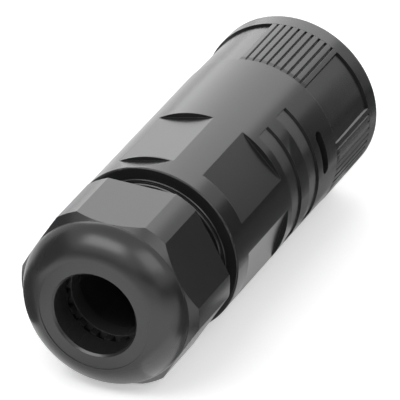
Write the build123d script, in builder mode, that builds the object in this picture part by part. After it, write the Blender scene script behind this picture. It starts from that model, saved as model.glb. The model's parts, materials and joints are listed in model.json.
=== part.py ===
from build123d import *
from math import cos, degrees, radians, sin
import os

# Round power connector for a cable, lying on its side. Its axis is Y: the mating rim faces +Y with
# its centre at the origin, and the cable enters through the gland nut at the -Y end.
# Lengths are in millimetres. Angles are in degrees round the axis, from +Z towards +X.

# Main sizes of the housing
body_radius = 16.85
housing_length = 63.9  # from the mating rim to the rear face, without the neck

# Clearances
fit_gap = 0.05  # between pieces that stay put against each other
thread_gap = 0.15  # between the neck and the bore of the nut
finger_gap = 0.35  # between the fingers of the chuck and the cone of the nut
slip_gap = 0.1  # between the slip ring and its seat in the nut
margin = 0.5  # by which a cut runs past the surface that it opens

# Cable gland, from the neck inwards
neck_wall = 1.25
thread_height = 0.9
skirt_wall = 1.15
finger_wall = 1.4
tip_wall = 0.5
seal_wall = 1.4
seal_step = 0.9

# Gland nut
nut_sides = 6
nut_inset = 0.55
hole_chamfer = 0.4
face_width = 2.8
face_step = 0.15
hole_depth = 5.6
dome_depth = 5.4
dome_fullness = 0.4  # 0 for a plain cone, about 0.55 for a quarter of an ellipse
corner_stand = 1.35
corner_chamfer = 1.6
hexagon_length = 13.3
nut_standoff = 5.3  # from the rear face of the housing, with the nut at rest
cone_shoulder = 1.2
flange_room = 0.7

# Slip ring in the rear end of the nut, gasket at the foot of the neck
slip_wall = 0.7
slip_length = 3.0
gasket_thickness = 0.4
gasket_width = 0.8

# Chuck and cable seal
finger_count = 18
slot_width = 1.5
tip_setback = 0.5
hook_length = 1.65
hook_inset = 0.15
flange_thickness = 1.1
flange_inset = 0.2
ledge_width = 0.8
seal_length = 15.4
seal_lip_length = 3.4

# Housing outside
rear_rounding = 0.3
rear_band_length = 4.8
flat_count = 6
flat_depth = 0.99
flat_length = 17.6
flat_turn = -14.3
notch_depth = 0.85
notch_rib = 0.35
band_count = 2
band_pitch = 7.9
band_length = 4.3
band_depth = 0.35
band_angle = 80.6
band_setback = 2.1
latch_turn = 75.7
window_width = 2.3
window_angle = 29.3
window_setback = 4.15
grip_length = 15.0
grip_groups = 3
grip_pitch = 90.0
grip_turn = 12.25
rib_count = 10
rib_pitch = 4.87
rib_stand = 0.1
rib_slope = 0.9
groove_width = 0.5
groove_depth = 0.35
panel_rear_depth = 0.15
panel_front_depth = 0.35

# Front ring
collar_length = 3.8
collar_rounding = 0.6
spigot_wall = 1.5
ring_lip = 0.8

# Housing inside
body_wall = 3.85
cavity_step = 0.85
cavity_depth = 30.0
mouth_step = 0.4
mouth_depth = 9.0
lip_thickness = 2.0
lip_width = 1.2
neck_length = 14.0
key_turns = (0.0, 140.0)
key_width = 3.0
key_depth = 0.8
key_length = 26.0

# Contact insert
carrier_length = 6.8
boss_stand = 0.5
ring_cord = 1.8
ring_squeeze = 0.15
cap_length = 14.0
cap_chamfer = 0.6
socket_seal_thickness = 1.8
contact_turns = {"line": 60.0, "neutral": 300.0, "earth": 180.0}
pin_radius = 2.0
pin_rounding = 0.9
pin_length = 17.5
earth_lead = 2.0
barrel_radius = 3.05
barrel_length = 11.5
wire_radius = 1.6
wire_depth = 9.5
screw_radius = 1.35
screw_setback = 5.5
screw_stand = 1.2
screw_slot_width = 0.5
screw_slot_depth = 0.7
access_radius = 1.9
guard_thickness = 0.3
guard_width = 2.2
guard_offset = 0.7
guard_lip = 2.4
guard_reach = 8.5
pocket_room = 0.5

# Radii that follow, from the outside inwards
rib_radius = body_radius + rib_stand
flat_distance = body_radius - flat_depth
nut_flat_radius = body_radius - nut_inset
corner_radius = nut_flat_radius + corner_stand
cavity_radius = body_radius - body_wall
mouth_radius = cavity_radius + mouth_step
spigot_radius = mouth_radius + spigot_wall
rear_bore_radius = cavity_radius - cavity_step
lip_radius = rear_bore_radius - lip_width
carrier_radius = rear_bore_radius - fit_gap
contact_circle = carrier_radius / 2
neck_radius = rear_bore_radius + neck_wall
nut_bore_radius = neck_radius + thread_gap
slip_bore_radius = neck_radius + thread_height + thread_gap
slip_radius = slip_bore_radius + slip_wall
skirt_radius = rear_bore_radius - fit_gap
throat_radius = skirt_radius - skirt_wall
finger_inner = throat_radius - finger_wall
hole_radius = finger_inner - fit_gap - seal_wall
nose_radius = hole_radius + face_width
cone_small = finger_inner + tip_wall + finger_gap
cone_large = nut_bore_radius - cone_shoulder

# Places along the axis, from the mating rim back to the nose of the nut
y_collar = -collar_length
y_grip_front = y_collar - fit_gap
y_grip_rear = y_grip_front - grip_length
y_window = y_grip_rear - window_setback - window_width / 2
y_band = y_window - window_width / 2 - band_setback
y_rear = -housing_length
y_flat_rear = y_rear + rear_band_length
y_notch = y_flat_rear - notch_rib
y_neck_end = y_rear - neck_length
y_gasket = y_rear - fit_gap
y_nut_rear = y_rear - nut_standoff
y_nose = y_nut_rear - hexagon_length - corner_chamfer - dome_depth
y_cone = y_nose + hole_depth
y_flange = y_neck_end - fit_gap - flange_thickness
y_nut_step = y_flange - flange_room
y_tip = y_cone + tip_setback
y_seal = y_tip + hook_length + fit_gap
y_seal_rear = y_seal + seal_length
y_shoulder = y_flange + flange_thickness / 2
y_floor = -cavity_depth
y_lip_rear = y_floor - lip_thickness
y_carrier = y_lip_rear - fit_gap
y_carrier_rear = y_carrier - carrier_length
y_boss = y_floor + boss_stand
y_cap = y_carrier_rear - fit_gap
y_cap_rear = y_cap - cap_length
y_barrel_rear = y_cap - barrel_length
y_screw = y_barrel_rear + screw_setback


def section(y):
    """Plane across the axis at y: its x points up, its y to the right and its normal along +Y."""
    return Plane(origin=(0, y, 0), x_dir=(0, 0, 1), z_dir=(0, 1, 0))


def outward(turn):
    """Direction away from the axis at this angle."""
    return Vector(sin(radians(turn)), 0, cos(radians(turn)))


def meridian(turn, distance=0.0):
    """Plane along the axis at this angle: its x points outwards, its y along the axis."""
    direction = outward(turn)
    return Plane(origin=direction * distance, x_dir=direction, z_dir=direction.cross(Vector(0, 1, 0)))


def facing_out(turn, distance, y):
    """Plane that faces outwards at this angle and distance from the axis."""
    direction = outward(turn)
    return Plane(origin=direction * distance + Vector(0, y, 0), x_dir=(0, 1, 0), z_dir=direction)


os.makedirs("parts", exist_ok=True)

# Housing: one moulded shell with the mating cavity in front and the threaded neck behind
with BuildPart() as housing:
    with BuildSketch() as shell:
        with BuildLine():
            Polyline(
                (rear_bore_radius, y_neck_end),
                (neck_radius, y_neck_end),
                (neck_radius, y_rear),
                (body_radius, y_rear),
                (body_radius, y_grip_rear),
                (rib_radius, y_grip_rear + rib_slope),
                (rib_radius, y_grip_front),
                (spigot_radius, y_grip_front),
                (spigot_radius, -ring_lip - fit_gap),
                (mouth_radius, -ring_lip - fit_gap),
                (mouth_radius, -mouth_depth),
                (cavity_radius, -mouth_depth),
                (cavity_radius, y_floor),
                (lip_radius, y_floor),
                (lip_radius, y_lip_rear),
                (rear_bore_radius, y_lip_rear),
                close=True,
            )
        make_face()
        fillet(shell.vertices().sort_by_distance((body_radius, y_rear))[0], rear_rounding)
    revolve(axis=Axis.Y)

    # Wrench flats
    with BuildSketch(section(y_flat_rear)):
        with PolarLocations(flat_distance + body_radius / 2, flat_count, start_angle=flat_turn):
            Rectangle(body_radius, 2 * body_radius)
    extrude(amount=flat_length, mode=Mode.SUBTRACT)

    # Notch in the rear band: a ramp from the rear edge to a wall, a thin rib short of the flat before it
    with BuildSketch(meridian(flat_turn)):
        with BuildLine():
            Polyline(
                (body_radius, y_rear),
                (body_radius - notch_depth, y_notch),
                (body_radius + margin, y_notch),
                (body_radius + margin, y_rear),
                close=True,
            )
        make_face()
    extrude(amount=body_radius, both=True, mode=Mode.SUBTRACT)

    # Label recesses, ramped in the same way
    for index in range(band_count):
        front = y_band - index * band_pitch
        with BuildSketch(meridian(latch_turn - band_angle / 2)):
            with BuildLine():
                Polyline(
                    (body_radius - band_depth, front),
                    (body_radius + margin, front),
                    (body_radius + margin, front - band_length * (1 + margin / band_depth)),
                    close=True,
                )
            make_face()
        revolve(axis=Axis.Y, revolution_arc=band_angle, mode=Mode.SUBTRACT)

    # Latch window, a slot with round ends through the wall of the cavity
    wall = body_radius - cavity_radius + 2 * margin
    half_angle = window_angle / 2 - degrees(window_width / 2 / body_radius)
    with BuildSketch(meridian(latch_turn - half_angle)):
        with Locations((cavity_radius - margin + wall / 2, y_window)):
            Rectangle(wall, window_width)
    revolve(axis=Axis.Y, revolution_arc=2 * half_angle, mode=Mode.SUBTRACT)
    for turn in (latch_turn - half_angle, latch_turn + half_angle):
        with BuildSketch(facing_out(turn, cavity_radius - margin, y_window)):
            Circle(window_width / 2)
        extrude(amount=wall, mode=Mode.SUBTRACT)

    # Plain panels between the rib groups of the grip, which fall away towards the front ring
    group_angle = rib_count * rib_pitch
    for index in range(grip_groups):
        group_end = grip_turn + index * grip_pitch + group_angle / 2
        next_turn = grip_turn + (index + 1) * grip_pitch if index < grip_groups - 1 else grip_turn + 360
        with BuildSketch(meridian(group_end)):
            with BuildLine():
                Polyline(
                    (body_radius - panel_rear_depth, y_grip_rear),
                    (body_radius - panel_front_depth, y_grip_front),
                    (rib_radius + margin, y_grip_front),
                    (rib_radius + margin, y_grip_rear),
                    close=True,
                )
            make_face()
        panel_angle = next_turn - group_angle / 2 - group_end
        revolve(axis=Axis.Y, revolution_arc=panel_angle, mode=Mode.SUBTRACT)

    # Narrow grooves between the ribs and along both sides of each group
    with BuildSketch(section(y_grip_rear)):
        for index in range(grip_groups):
            first = grip_turn + index * grip_pitch - group_angle / 2
            with PolarLocations(
                rib_radius, rib_count + 1, start_angle=first, angular_range=group_angle, endpoint=True
            ):
                Polygon(
                    (margin, groove_width / 2),
                    (0, groove_width / 2),
                    (-groove_depth, 0),
                    (0, -groove_width / 2),
                    (margin, -groove_width / 2),
                    align=None,
                )
    extrude(amount=grip_length, mode=Mode.SUBTRACT)

    # Keyways that set the mating half the right way round
    with BuildSketch(section(-key_length)):
        for turn in key_turns:
            with PolarLocations(cavity_radius, 1, start_angle=turn):
                Rectangle(2 * key_depth, key_width)
    extrude(amount=key_length, mode=Mode.SUBTRACT)

housing.part.label = "housing"
export_step(housing.part, "parts/housing.step")

# Front ring: the collar pushed over the spigot of the housing, flush with the ribs of the grip
with BuildPart() as front_ring:
    with BuildSketch() as collar:
        with BuildLine():
            Polyline(
                (mouth_radius, -ring_lip),
                (mouth_radius, 0),
                (rib_radius, 0),
                (rib_radius, y_collar),
                (spigot_radius + fit_gap, y_collar),
                (spigot_radius + fit_gap, -ring_lip),
                close=True,
            )
        make_face()
        fillet(collar.vertices().sort_by_distance((rib_radius, 0))[0], collar_rounding)
    revolve(axis=Axis.Y)
    with BuildSketch(section(-collar_length)):
        for turn in key_turns:
            with PolarLocations(cavity_radius, 1, start_angle=turn):
                Rectangle(2 * key_depth, key_width)
    extrude(amount=collar_length, mode=Mode.SUBTRACT)

front_ring.part.label = "front_ring"
export_step(front_ring.part, "parts/front_ring.step")

# Socket seal: flat rubber ring on the floor of the mating cavity
with BuildPart() as socket_seal:
    with BuildSketch(section(y_floor + fit_gap)):
        Circle(cavity_radius - fit_gap)
        Circle(lip_radius, mode=Mode.SUBTRACT)
    extrude(amount=socket_seal_thickness)

socket_seal.part.label = "socket_seal"
export_step(socket_seal.part, "parts/socket_seal.step")

# Contact carrier: front insulator, seated behind the lip of the housing
with BuildPart() as contact_carrier:
    ring_depth = ring_cord - ring_squeeze
    y_ring = (y_carrier + y_carrier_rear) / 2
    with BuildSketch():
        with BuildLine():
            Polyline(
                (0, y_carrier_rear),
                (carrier_radius, y_carrier_rear),
                (carrier_radius, y_ring - ring_cord / 2 - fit_gap),
                (carrier_radius - ring_depth - fit_gap, y_ring - ring_cord / 2 - fit_gap),
                (carrier_radius - ring_depth - fit_gap, y_ring + ring_cord / 2 + fit_gap),
                (carrier_radius, y_ring + ring_cord / 2 + fit_gap),
                (carrier_radius, y_carrier),
                (lip_radius - fit_gap, y_carrier),
                (lip_radius - fit_gap, y_boss),
                (0, y_boss),
                close=True,
            )
        make_face()
    revolve(axis=Axis.Y)
    with BuildSketch(section(y_carrier_rear)):
        for turn in contact_turns.values():
            with PolarLocations(contact_circle, 1, start_angle=turn):
                Circle(pin_radius + fit_gap)
    extrude(amount=y_boss - y_carrier_rear, mode=Mode.SUBTRACT)

contact_carrier.part.label = "contact_carrier"
export_step(contact_carrier.part, "parts/contact_carrier.step")

# O-ring in the groove of the carrier, squeezed flat against the bore of the housing
with BuildPart() as carrier_o_ring:
    with BuildSketch():
        with Locations((carrier_radius - ring_depth / 2, y_ring)):
            Ellipse(ring_depth / 2, ring_cord / 2)
    revolve(axis=Axis.Y)

carrier_o_ring.part.label = "carrier_o_ring"
export_step(carrier_o_ring.part, "parts/carrier_o_ring.step")

# Carrier cap: rear insulator with a pocket, a wire hole and a screw hole for each terminal
with BuildPart() as carrier_cap:
    with BuildSketch(section(y_cap_rear)):
        Circle(carrier_radius)
    extrude(amount=cap_length)
    chamfer(carrier_cap.edges().group_by(Axis.Y)[0], cap_chamfer)
    with BuildSketch(section(y_cap_rear)):
        for turn in contact_turns.values():
            with PolarLocations(contact_circle, 1, start_angle=turn):
                Circle(wire_radius + margin)
    extrude(amount=cap_length, mode=Mode.SUBTRACT)
    with BuildSketch(section(y_barrel_rear - pocket_room)):
        for turn in contact_turns.values():
            with PolarLocations(contact_circle, 1, start_angle=turn):
                Circle(barrel_radius + fit_gap)
    extrude(amount=barrel_length + pocket_room, mode=Mode.SUBTRACT)
    for turn in contact_turns.values():
        with BuildSketch(facing_out(turn, contact_circle, y_screw)):
            Circle(access_radius)
        extrude(amount=carrier_radius, mode=Mode.SUBTRACT)

carrier_cap.part.label = "carrier_cap"
export_step(carrier_cap.part, "parts/carrier_cap.step")

# Three terminals: a turned contact with a screw barrel, its screw and the leaf that guards the wire
for pole, turn in contact_turns.items():
    lane = meridian(turn, contact_circle)
    lane_axis = Axis(lane.origin, (0, 1, 0))
    lead = earth_lead if pole == "earth" else 0.0
    y_pin_tip = y_boss + pin_length + lead

    with BuildPart() as contact:
        with BuildSketch(lane) as turned:
            with BuildLine():
                Polyline(
                    (0, y_barrel_rear + wire_depth),
                    (wire_radius, y_barrel_rear + wire_depth),
                    (wire_radius, y_barrel_rear),
                    (barrel_radius, y_barrel_rear),
                    (barrel_radius, y_cap),
                    (pin_radius, y_cap),
                    (pin_radius, y_pin_tip),
                    (0, y_pin_tip),
                    close=True,
                )
            make_face()
            fillet(turned.vertices().sort_by_distance((pin_radius, y_pin_tip))[0], pin_rounding)
        revolve(axis=lane_axis)
        with BuildSketch(facing_out(turn, contact_circle, y_screw)):
            Circle(screw_radius + fit_gap)
        extrude(amount=barrel_radius, mode=Mode.SUBTRACT)

    contact.part.label = f"{pole}_contact"
    export_step(contact.part, f"parts/{pole}_contact.step")

    with BuildPart() as terminal_screw:
        screw_start = contact_circle + guard_offset + guard_thickness + fit_gap
        screw_end = contact_circle + barrel_radius + screw_stand
        with BuildSketch(facing_out(turn, screw_start, y_screw)):
            Circle(screw_radius)
        extrude(amount=screw_end - screw_start)
        with BuildSketch(facing_out(turn, screw_end, y_screw)):
            Rectangle(2 * screw_radius, screw_slot_width)
        extrude(amount=-screw_slot_depth, mode=Mode.SUBTRACT)

    terminal_screw.part.label = f"{pole}_terminal_screw"
    export_step(terminal_screw.part, f"parts/{pole}_terminal_screw.step")

    with BuildPart() as wire_guard:
        with BuildSketch(lane):
            with BuildLine():
                Polyline(
                    (guard_offset, y_barrel_rear + guard_reach),
                    (guard_offset, y_barrel_rear - fit_gap - guard_thickness),
                    (guard_lip, y_barrel_rear - fit_gap - guard_thickness),
                    (guard_lip, y_barrel_rear - fit_gap),
                    (guard_offset + guard_thickness, y_barrel_rear - fit_gap),
                    (guard_offset + guard_thickness, y_barrel_rear + guard_reach),
                    close=True,
                )
            make_face()
        extrude(amount=guard_width / 2, both=True)

    wire_guard.part.label = f"{pole}_wire_guard"
    export_step(wire_guard.part, f"parts/{pole}_wire_guard.step")

# Chuck: flange on the end of the neck, skirt that holds the insert, fingers that grip the cable
with BuildPart() as chuck:
    cone_slope = (cone_large - cone_small) / (y_nut_step - y_cone)
    y_bend = y_cone + (throat_radius + finger_gap - cone_small) / cone_slope
    with BuildSketch():
        with BuildLine():
            Polyline(
                (hole_radius + hook_inset, y_tip),
                (cone_small + cone_slope * (y_tip - y_cone) - finger_gap, y_tip),
                (throat_radius, y_bend),
                (throat_radius, y_flange),
                (neck_radius - flange_inset, y_flange),
                (neck_radius - flange_inset, y_neck_end - fit_gap),
                (skirt_radius, y_neck_end - fit_gap),
                (skirt_radius, y_cap_rear - fit_gap),
                (throat_radius - ledge_width, y_cap_rear - fit_gap),
                (throat_radius - ledge_width, y_seal_rear + fit_gap),
                (throat_radius, y_seal_rear + fit_gap),
                (throat_radius, y_shoulder),
                (finger_inner, y_shoulder),
                (finger_inner, y_tip + hook_length),
                (hole_radius + hook_inset, y_tip + hook_length),
                close=True,
            )
        make_face()
    revolve(axis=Axis.Y)
    with BuildSketch(section(y_tip)):
        with PolarLocations(throat_radius, finger_count, start_angle=180 / finger_count):
            Rectangle(throat_radius, slot_width)
    extrude(amount=y_flange - y_tip, mode=Mode.SUBTRACT)

chuck.part.label = "chuck"
export_step(chuck.part, "parts/chuck.step")

# Cable seal: rubber sleeve inside the chuck, with a lip as wide as the cable hole
with BuildPart() as cable_seal:
    with BuildSketch():
        with BuildLine():
            Polyline(
                (hole_radius, y_seal),
                (hole_radius + seal_wall, y_seal),
                (hole_radius + seal_wall, y_shoulder + fit_gap),
                (throat_radius - fit_gap, y_shoulder + fit_gap),
                (throat_radius - fit_gap, y_seal_rear),
                (hole_radius + seal_step, y_seal_rear),
                (hole_radius + seal_step, y_seal + seal_lip_length),
                (hole_radius, y_seal + seal_lip_length),
                close=True,
            )
        make_face()
    revolve(axis=Axis.Y)

cable_seal.part.label = "cable_seal"
export_step(cable_seal.part, "parts/cable_seal.step")

# Neck gasket: rubber ring against the rear face of the housing
with BuildPart() as neck_gasket:
    with BuildSketch(section(y_gasket)):
        Circle(neck_radius + gasket_width)
        Circle(neck_radius + fit_gap, mode=Mode.SUBTRACT)
    extrude(amount=-gasket_thickness)

neck_gasket.part.label = "neck_gasket"
export_step(neck_gasket.part, "parts/neck_gasket.step")

# Slip ring: bush seated in the rear end of the nut, which slides along the neck without turning
with BuildPart() as slip_ring:
    with BuildSketch(section(y_nut_rear)):
        Circle(slip_radius)
        Circle(slip_bore_radius, mode=Mode.SUBTRACT)
    extrude(amount=-slip_length)

slip_ring.part.label = "slip_ring"
export_step(slip_ring.part, "parts/slip_ring.step")

# Gland nut: domed nose with the cable hole, six flats between turned corners, seat for the slip ring
with BuildPart() as gland_nut:
    y_dome = y_nose + dome_depth
    with BuildSketch() as nut:
        with BuildLine():
            Polyline(
                (nut_flat_radius, y_dome),
                (corner_radius, y_dome + corner_chamfer),
                (corner_radius, y_nut_rear),
                (slip_radius + slip_gap, y_nut_rear),
                (slip_radius + slip_gap, y_nut_rear - slip_length - slip_gap),
                (nut_bore_radius, y_nut_rear - slip_length - slip_gap),
                (nut_bore_radius, y_nut_step),
                (cone_large, y_nut_step),
                (cone_small, y_cone),
                (hole_radius, y_cone),
                (hole_radius, y_nose + face_step),
                (nose_radius, y_nose + face_step),
                (nose_radius, y_nose),
            )
            Bezier(
                (nose_radius, y_nose),
                (nose_radius + dome_fullness * (nut_flat_radius - nose_radius), y_nose),
                (nut_flat_radius, y_dome - dome_fullness * dome_depth),
                (nut_flat_radius, y_dome),
            )
        make_face()
        chamfer(nut.vertices().sort_by_distance((hole_radius, y_nose + face_step))[0], hole_chamfer)
    revolve(axis=Axis.Y)
    with BuildSketch(section(y_dome)):
        Circle(2 * corner_radius)
        RegularPolygon(
            nut_flat_radius, nut_sides, major_radius=False, rotation=180 / nut_sides, mode=Mode.SUBTRACT
        )
    extrude(amount=y_nut_rear - y_dome, mode=Mode.SUBTRACT)

gland_nut.part.label = "gland_nut"
export_step(gland_nut.part, "parts/gland_nut.step")
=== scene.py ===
import json
import math

import bmesh
import bpy
from mathutils import Matrix, Quaternion, Vector


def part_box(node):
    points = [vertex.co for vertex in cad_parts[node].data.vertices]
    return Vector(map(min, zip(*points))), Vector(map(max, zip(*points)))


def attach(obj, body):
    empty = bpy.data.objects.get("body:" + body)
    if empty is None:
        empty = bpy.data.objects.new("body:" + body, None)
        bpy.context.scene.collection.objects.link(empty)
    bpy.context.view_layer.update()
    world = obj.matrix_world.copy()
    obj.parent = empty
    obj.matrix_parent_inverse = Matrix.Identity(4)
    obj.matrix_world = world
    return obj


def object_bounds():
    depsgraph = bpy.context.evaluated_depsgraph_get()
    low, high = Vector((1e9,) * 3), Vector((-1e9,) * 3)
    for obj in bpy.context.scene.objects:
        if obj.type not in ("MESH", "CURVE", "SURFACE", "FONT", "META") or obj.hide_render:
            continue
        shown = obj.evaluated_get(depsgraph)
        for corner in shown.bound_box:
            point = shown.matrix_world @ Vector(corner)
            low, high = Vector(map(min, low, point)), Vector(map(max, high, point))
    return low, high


# The connector lies on a pale floor between soft boxes behind it, in front of it and on its right.
# Dark cards, which only reflections show, give its black plastic its darker parts. Lengths are in
# metres, in the part's own frame: the axis is Y and the cable enters at the -Y end.

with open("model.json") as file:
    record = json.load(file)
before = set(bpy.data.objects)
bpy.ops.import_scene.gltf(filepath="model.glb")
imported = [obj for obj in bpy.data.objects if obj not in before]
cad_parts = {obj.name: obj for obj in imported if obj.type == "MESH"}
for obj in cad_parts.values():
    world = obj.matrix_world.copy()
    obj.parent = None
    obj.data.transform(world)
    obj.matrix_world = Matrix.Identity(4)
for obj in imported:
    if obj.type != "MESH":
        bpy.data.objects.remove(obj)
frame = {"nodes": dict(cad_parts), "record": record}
cad_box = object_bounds()
nodes = frame["nodes"]
scene = bpy.context.scene
MM = 0.001
WHITE = (1.0, 1.0, 1.0, 1.0)


def add_mesh(name, mesh):
    """An object in the scene that has this mesh."""
    data = bpy.data.meshes.new(name)
    mesh.to_mesh(data)
    mesh.free()
    piece = bpy.data.objects.new(name, data)
    scene.collection.objects.link(piece)
    return piece


# Materials

CLOUD_SIZE = 14 * MM  # of the lighter and darker patches in plastic
CLOUD_DETAIL = 3.0
CLOUD_SHADES = (0.94, 1.06)
SMEAR_SIZE = 9 * MM  # of the patches with more and less gloss
GRAIN_STRENGTH = 0.5
EDGE_SAMPLES = 6
STAIN_SIZE = 4 * MM  # of the darker patches on metal
STAIN_DETAIL = 4.0
STAIN_SHADES = (0.85, 1.0)
RING_STRETCH = (0.1, 1.0, 0.1)  # draws a noise out across the axis
RING_DETAIL = 3.0
RING_STRENGTH = 0.4
RING_DEPTH = 0.01 * MM


def new_material(name):
    """A material with its node tree and its shader node."""
    material = bpy.data.materials.new(name)
    material.use_nodes = True
    tree = material.node_tree
    return material, tree, tree.nodes["Principled BSDF"]


def add_node(tree, kind, inputs=(), **settings):
    """A node with its settings, its constant inputs and its links from other nodes' outputs."""
    node = tree.nodes.new(kind)
    for key, value in settings.items():
        setattr(node, key, value)
    for key, value in dict(inputs).items():
        if isinstance(value, bpy.types.NodeSocket):
            tree.links.new(value, node.inputs[key])
        else:
            node.inputs[key].default_value = value
    return node


def noise(tree, coordinates, size, detail=2.0):
    """Noise whose features are about this size."""
    inputs = {"Vector": coordinates, "Scale": 1.0 / size, "Detail": detail}
    return add_node(tree, "ShaderNodeTexNoise", inputs).outputs["Fac"]


def spread(tree, value, low, high):
    """Carries a value from 0 to 1 over to the range from low to high."""
    inputs = {"Value": value, "To Min": low, "To Max": high}
    return add_node(tree, "ShaderNodeMapRange", inputs).outputs["Result"]


def mottled(tree, pattern, colour, shades):
    """A colour that goes from its first shade to its second with the pattern."""
    tint = add_node(tree, "ShaderNodeMix", {"Factor": pattern}, data_type="RGBA")
    for key, shade in zip("AB", shades):
        tint.inputs[key].default_value = (*[shade * c for c in colour], 1.0)
    return tint.outputs["Result"]


def moulded(name, colour, gloss, grain, depth, edge):
    """Moulded plastic or rubber: cloudy colour and gloss, fine grain, softened edges.

    gloss is the lowest and highest roughness, grain the size of the surface grain and depth its
    height, and edge the radius to which the edges are softened, these three in millimetres.
    """
    material, tree, shader = new_material(name)
    place = add_node(tree, "ShaderNodeTexCoord").outputs["Object"]
    cloud = noise(tree, place, CLOUD_SIZE, CLOUD_DETAIL)
    smear = noise(tree, place, SMEAR_SIZE)
    soft_edge = add_node(tree, "ShaderNodeBevel", {"Radius": edge * MM}, samples=EDGE_SAMPLES)
    skin = add_node(tree, "ShaderNodeBump", {
        "Height": noise(tree, place, grain * MM),
        "Strength": GRAIN_STRENGTH,
        "Distance": depth * MM,
        "Normal": soft_edge.outputs["Normal"],
    })
    tree.links.new(mottled(tree, cloud, colour, CLOUD_SHADES), shader.inputs["Base Color"])
    tree.links.new(spread(tree, smear, *gloss), shader.inputs["Roughness"])
    tree.links.new(skin.outputs["Normal"], shader.inputs["Normal"])
    return material


def turned_metal(name, colour, gloss, mark):
    """Plated metal with the fine rings that turning leaves, this many millimetres apart."""
    material, tree, shader = new_material(name)
    place = add_node(tree, "ShaderNodeTexCoord").outputs["Object"]
    rings = add_node(tree, "ShaderNodeMapping", {"Vector": place, "Scale": RING_STRETCH})
    stain = noise(tree, place, STAIN_SIZE, STAIN_DETAIL)
    skin = add_node(tree, "ShaderNodeBump", {
        "Height": noise(tree, rings.outputs["Vector"], mark * MM, RING_DETAIL),
        "Strength": RING_STRENGTH,
        "Distance": RING_DEPTH,
    })
    shader.inputs["Metallic"].default_value = 1.0
    tree.links.new(mottled(tree, stain, colour, STAIN_SHADES), shader.inputs["Base Color"])
    tree.links.new(spread(tree, stain, *gloss), shader.inputs["Roughness"])
    tree.links.new(skin.outputs["Normal"], shader.inputs["Normal"])
    return material


# Colour, gloss, grain, depth and edge
MOULDED = {
    "shell_plastic": ((0.0165, 0.0165, 0.0175), (0.23, 0.27), 0.40, 0.002, 0.12),
    "nut_plastic": ((0.021, 0.021, 0.022), (0.24, 0.28), 0.40, 0.002, 0.10),
    "slip_plastic": ((0.018, 0.018, 0.019), (0.18, 0.24), 0.30, 0.001, 0.06),
    "chuck_plastic": ((0.020, 0.020, 0.021), (0.26, 0.32), 0.30, 0.002, 0.12),
    "insert_plastic": ((0.070, 0.070, 0.072), (0.35, 0.42), 0.30, 0.003, 0.12),
    "seal_rubber": ((0.014, 0.014, 0.014), (0.22, 0.30), 0.30, 0.002, 0.10),
    # The cable's rubber is a lighter grey: painted light for the shaded depth of the hole
    "painted_light_cable_rubber": ((0.052, 0.052, 0.052), (0.22, 0.30), 0.30, 0.002, 0.10),
}

# Colour, gloss and distance of the turning marks
METALS = {
    "contact_brass": ((0.80, 0.78, 0.72), (0.16, 0.28), 0.12),
    "screw_steel": ((0.62, 0.62, 0.63), (0.24, 0.36), 0.10),
}

finishes = {name: moulded(name, *values) for name, values in MOULDED.items()}
finishes.update({name: turned_metal(name, *values) for name, values in METALS.items()})

for subpart in frame["record"]["subparts"]:
    nodes[subpart["node"]].material_slots[0].material = finishes[subpart["material_slot"]]

# The rubber round the cable is a lighter grey than the other seals: painted light that stands in
# for light in the shaded depth of the hole
nodes["cable_seal"].material_slots[0].material = finishes["painted_light_cable_rubber"]


# Thread on the neck and lip of the gasket, which show in the gap behind the nut

NECK_RADIUS = 13.4 * MM
THREAD_PITCH = 1.5 * MM
THREAD_LEAD = 0.05 * MM  # from the gasket to the start of the thread
THREAD_TURN = math.radians(110)  # at which it starts, from the top towards the right
THREAD_STEPS = 96  # in one turn
THREAD_FADE = THREAD_STEPS / 9  # steps over which it rises and runs out

# Rise over the neck or the gasket and shift along the axis, in millimetres
THREAD_PROFILE = [
    (-0.15, 0.35), (0.66, 0.30), (0.85, 0.11), (0.85, -0.11), (0.66, -0.30), (-0.15, -0.35),
]
LIP_PROFILE = [(-0.05, -0.02), (0.42, -0.02), (0.42, -0.06), (0.27, -0.24), (-0.05, -0.25)]


def around(turn, profile):
    """Points of a profile of radius and y, at this angle from the top towards the right."""
    return [(r * math.sin(turn), y, r * math.cos(turn)) for r, y in profile]


def sweep(name, rings, closed, slot):
    """A piece of the housing through rings of points, closed on itself or shut at its ends."""
    mesh = bmesh.new()
    loops = [[mesh.verts.new(point) for point in ring] for ring in rings]
    for ring, following in zip(loops, loops[1:] + loops[:1] if closed else loops[1:]):
        for a in range(len(ring)):
            b = (a + 1) % len(ring)
            mesh.faces.new((ring[a], ring[b], following[b], following[a]))
    if not closed:
        mesh.faces.new(loops[0])
        mesh.faces.new(reversed(loops[-1]))
    bmesh.ops.recalc_face_normals(mesh, faces=mesh.faces)
    piece = add_mesh(name, mesh)
    piece.data.materials.append(finishes[slot])
    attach(piece, "housing")


def neck_thread(start, end):
    """A right-hand ridge round the neck from y = start back to y = end, fading at both ends."""
    steps = round((start - end) / THREAD_PITCH * THREAD_STEPS)
    rings = []
    for step in range(steps + 1):
        y = start - THREAD_PITCH * step / THREAD_STEPS
        fade = min(1.0, step / THREAD_FADE, (steps - step) / THREAD_FADE)
        profile = [
            (NECK_RADIUS + (rise * fade if rise > 0 else rise) * MM, y + shift * MM)
            for rise, shift in THREAD_PROFILE
        ]
        rings.append(around(THREAD_TURN - math.tau * step / THREAD_STEPS, profile))
    sweep("neck_thread", rings, False, "shell_plastic")


def gasket_lip(radius, y):
    """A bevelled lip round the gasket, at its front edge."""
    profile = [(radius + rise * MM, y + shift * MM) for rise, shift in LIP_PROFILE]
    turns = [math.tau * step / THREAD_STEPS for step in range(THREAD_STEPS)]
    sweep("gasket_lip", [around(turn, profile) for turn in turns], True, "seal_rubber")


gasket_low, gasket_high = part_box("neck_gasket")
neck_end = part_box("housing")[0].y
neck_thread(gasket_low.y - THREAD_LEAD, neck_end + THREAD_PITCH / 2)
gasket_lip(gasket_high.x, gasket_high.y)


# Floor

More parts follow.
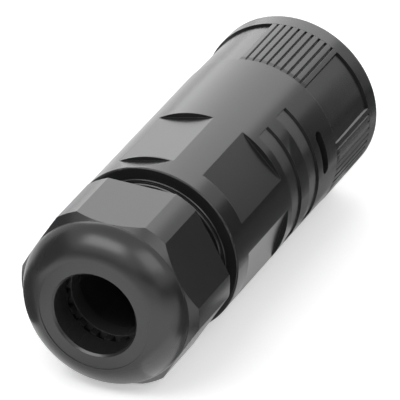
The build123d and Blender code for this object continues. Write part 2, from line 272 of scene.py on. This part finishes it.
FLOOR_HEIGHT = cad_box[0].z
FLOOR_REACH = 0.6
FLOOR_SIDES = 128
FLOOR_COLOUR = (0.90, 0.90, 0.90, 1.0)
FLOOR_ROUGHNESS = 0.9
FLOOR_SPECULAR = 0.1
FLOOR_LIFT = 0.44  # light of its own where it is seen


def seen_rays(tree):
    """1 for rays that show a surface or the world as it looks, 0 for those that light others."""
    path = add_node(tree, "ShaderNodeLightPath").outputs
    seen = path["Is Camera Ray"]
    for ray in ("Is Glossy Ray", "Is Transmission Ray"):
        either = add_node(tree, "ShaderNodeMath", {0: seen, 1: path[ray]}, operation="MAXIMUM")
        seen = either.outputs[0]
    return seen


def pale_floor():
    """A round pale floor, lifted to white where it is seen, which keeps the object's shadow."""
    mesh = bmesh.new()
    bmesh.ops.create_circle(mesh, cap_ends=True, segments=FLOOR_SIDES, radius=FLOOR_REACH)
    floor = add_mesh("floor", mesh)
    floor.location = (0, (cad_box[0].y + cad_box[1].y) / 2, FLOOR_HEIGHT)
    material, tree, shader = new_material("floor")
    shader.inputs["Base Color"].default_value = FLOOR_COLOUR
    shader.inputs["Roughness"].default_value = FLOOR_ROUGHNESS
    shader.inputs["Specular IOR Level"].default_value = FLOOR_SPECULAR
    shader.inputs["Emission Color"].default_value = WHITE
    lift = spread(tree, seen_rays(tree), 0.0, FLOOR_LIFT)
    tree.links.new(lift, shader.inputs["Emission Strength"])
    floor.data.materials.append(material)


pale_floor()


# Light

AMBIENT = 0.35  # of the world, where it lights the object and the floor
MIDDLE = Vector((0, -44 * MM, 0))  # of the connector
NOSE = Vector((0, -85 * MM, 0))
LAMP_LIFT = 1 * MM  # of the lamps on the floor
CARD_LIFT = 0.3 * MM  # of the cards on the floor
UPRIGHT = 90  # tilt of the standing cards in degrees

# Place, target, width, height, radiance and turn in degrees about the line to the target
SOFT_BOXES = {
    "back": ((-0.16, 0.46, 0.28), MIDDLE, 0.68, 0.56, 1.81, 0),
    "front": ((-0.15, -0.395, 0.49), NOSE, 0.48, 0.22, 4.4, 15),
    "right": ((0.345, -0.215, 0.41), NOSE, 0.36, 0.27, 2.3, 0),
}

# x, y, width, depth and radiance of the lamps that lie on the floor and face up
FLOOR_LAMPS = {
    "low": (0.0, -0.160, 0.20, 0.12, 0.35),
    "low_right": (0.022, -0.090, 0.024, 0.014, 0.60),
}

# Place, width, height, turn about the vertical in degrees and shade
STANDING_CARDS = {
    "right_card": ((0.100, 0.062, FLOOR_HEIGHT + 0.042), 0.124, 0.084, 90, 0.03),
    "left_card": ((-0.105, -0.1235, FLOOR_HEIGHT + 0.045), 0.103, 0.090, 90, 0.18),
    "nut_card": ((0.110, -0.0915, 0.024), 0.163, 0.030, 90, 0.03),
    "nut_low_card": ((0.110, -0.048, -0.0035), 0.073, 0.027, 90, 0.03),
    "front_card": ((-0.200, -0.500, 0.155), 0.70, 0.15, 0, 0.50),
    "camera_card": ((0.222, -0.380, 0.153), 0.187, 0.12, 37, 0.03),
}

# x, y, width, depth and shade
FLOOR_CARDS = {
    "right_floor_card": (0.083, 0.035, 0.104, 0.25, 0.15),
    "collar_floor_card": (0.018, 0.031, 0.020, 0.058, 0.40),
    "nut_floor_card": (0.0225, -0.0655, 0.017, 0.031, 0.50),
    "body_floor_card": (0.0225, -0.010, 0.017, 0.024, 0.62),
    "left_floor_card": (-0.064, -0.095, 0.080, 0.060, 0.12),
}


def soft_box(name, place, target, width, height, radiance, turn):
    """A soft box at this place that faces the target, turned about that line."""
    light = bpy.data.lights.new(name, "AREA")
    light.shape = "RECTANGLE"
    light.size = width
    light.size_y = height
    light.energy = radiance * math.pi * width * height
    lamp = bpy.data.objects.new(name, light)
    lamp.location = place
    lamp.rotation_mode = "QUATERNION"
    facing = (Vector(place) - target).to_track_quat("Z", "Y")
    lamp.rotation_quaternion = facing @ Quaternion((0, 0, 1), math.radians(turn))
    lamp.visible_camera = False
    scene.collection.objects.link(lamp)


def dark_card(name, place, width, height, tilt, turn, shade):
    """A dark card that only reflections show, tilted up from the floor and then turned."""
    mesh = bmesh.new()
    bmesh.ops.create_grid(mesh, x_segments=1, y_segments=1, size=0.5)  # 1 m wide and long
    card = add_mesh(name, mesh)
    card.location = place
    card.rotation_euler = (math.radians(tilt), 0, math.radians(turn))
    card.scale = (width, height, 1)
    card.visible_camera = False
    card.visible_diffuse = False
    card.visible_shadow = False
    material, _, shader = new_material(name)
    shader.inputs["Base Color"].default_value = (shade, shade, shade, 1.0)
    shader.inputs["Roughness"].default_value = 1.0
    shader.inputs["Specular IOR Level"].default_value = 0.0
    card.data.materials.append(material)


def studio_world():
    """White behind the object and in reflections, and lower where it lights the object."""
    world = bpy.data.worlds.new("studio")
    world.use_nodes = True
    scene.world = world
    tree = world.node_tree
    background = tree.nodes["Background"]
    background.inputs["Color"].default_value = WHITE
    level = spread(tree, seen_rays(tree), AMBIENT, 1.0)
    tree.links.new(level, background.inputs["Strength"])


for name, values in SOFT_BOXES.items():
    soft_box(name, *values)
for name, (x, y, width, depth, radiance) in FLOOR_LAMPS.items():
    above = Vector((x, y, 1.0))
    soft_box(name, (x, y, FLOOR_HEIGHT + LAMP_LIFT), above, width, depth, radiance, 0)
for name, (place, width, height, turn, shade) in STANDING_CARDS.items():
    dark_card(name, place, width, height, UPRIGHT, turn, shade)
for name, (x, y, width, depth, shade) in FLOOR_CARDS.items():
    dark_card(name, (x, y, FLOOR_HEIGHT + CARD_LIFT), width, depth, 0, 0, shade)
studio_world()


# Camera, at the photograph's viewing angle

CAMERA_AZIMUTH = math.radians(23.941)
CAMERA_ELEVATION = math.radians(30.176)
CAMERA_ROLL = math.radians(-1.027)
CAMERA_AIM = Vector((0.477, -44.508, 0.598)) * MM
CAMERA_DISTANCE = 1287.936 * MM
CAMERA_LENS = 630.0
SENSOR_WIDTH = 36.0
CLIP_END = 10.0


def photo_camera():
    """A long lens from above the gland nut, to the right of the axis."""
    data = bpy.data.cameras.new("camera")
    data.lens = CAMERA_LENS
    data.sensor_width = SENSOR_WIDTH
    data.clip_end = CLIP_END
    camera = bpy.data.objects.new("camera", data)
    flat = math.cos(CAMERA_ELEVATION)
    back = Vector((
        math.sin(CAMERA_AZIMUTH) * flat,
        -math.cos(CAMERA_AZIMUTH) * flat,
        math.sin(CAMERA_ELEVATION),
    ))
    level = (-back).to_track_quat("-Z", "Y").to_matrix().to_4x4()
    roll = Matrix.Rotation(-CAMERA_ROLL, 4, "Z")
    camera.matrix_world = Matrix.Translation(CAMERA_AIM + back * CAMERA_DISTANCE) @ level @ roll
    scene.collection.objects.link(camera)
    scene.camera = camera


photo_camera()
scene.view_settings.view_transform = "Standard"
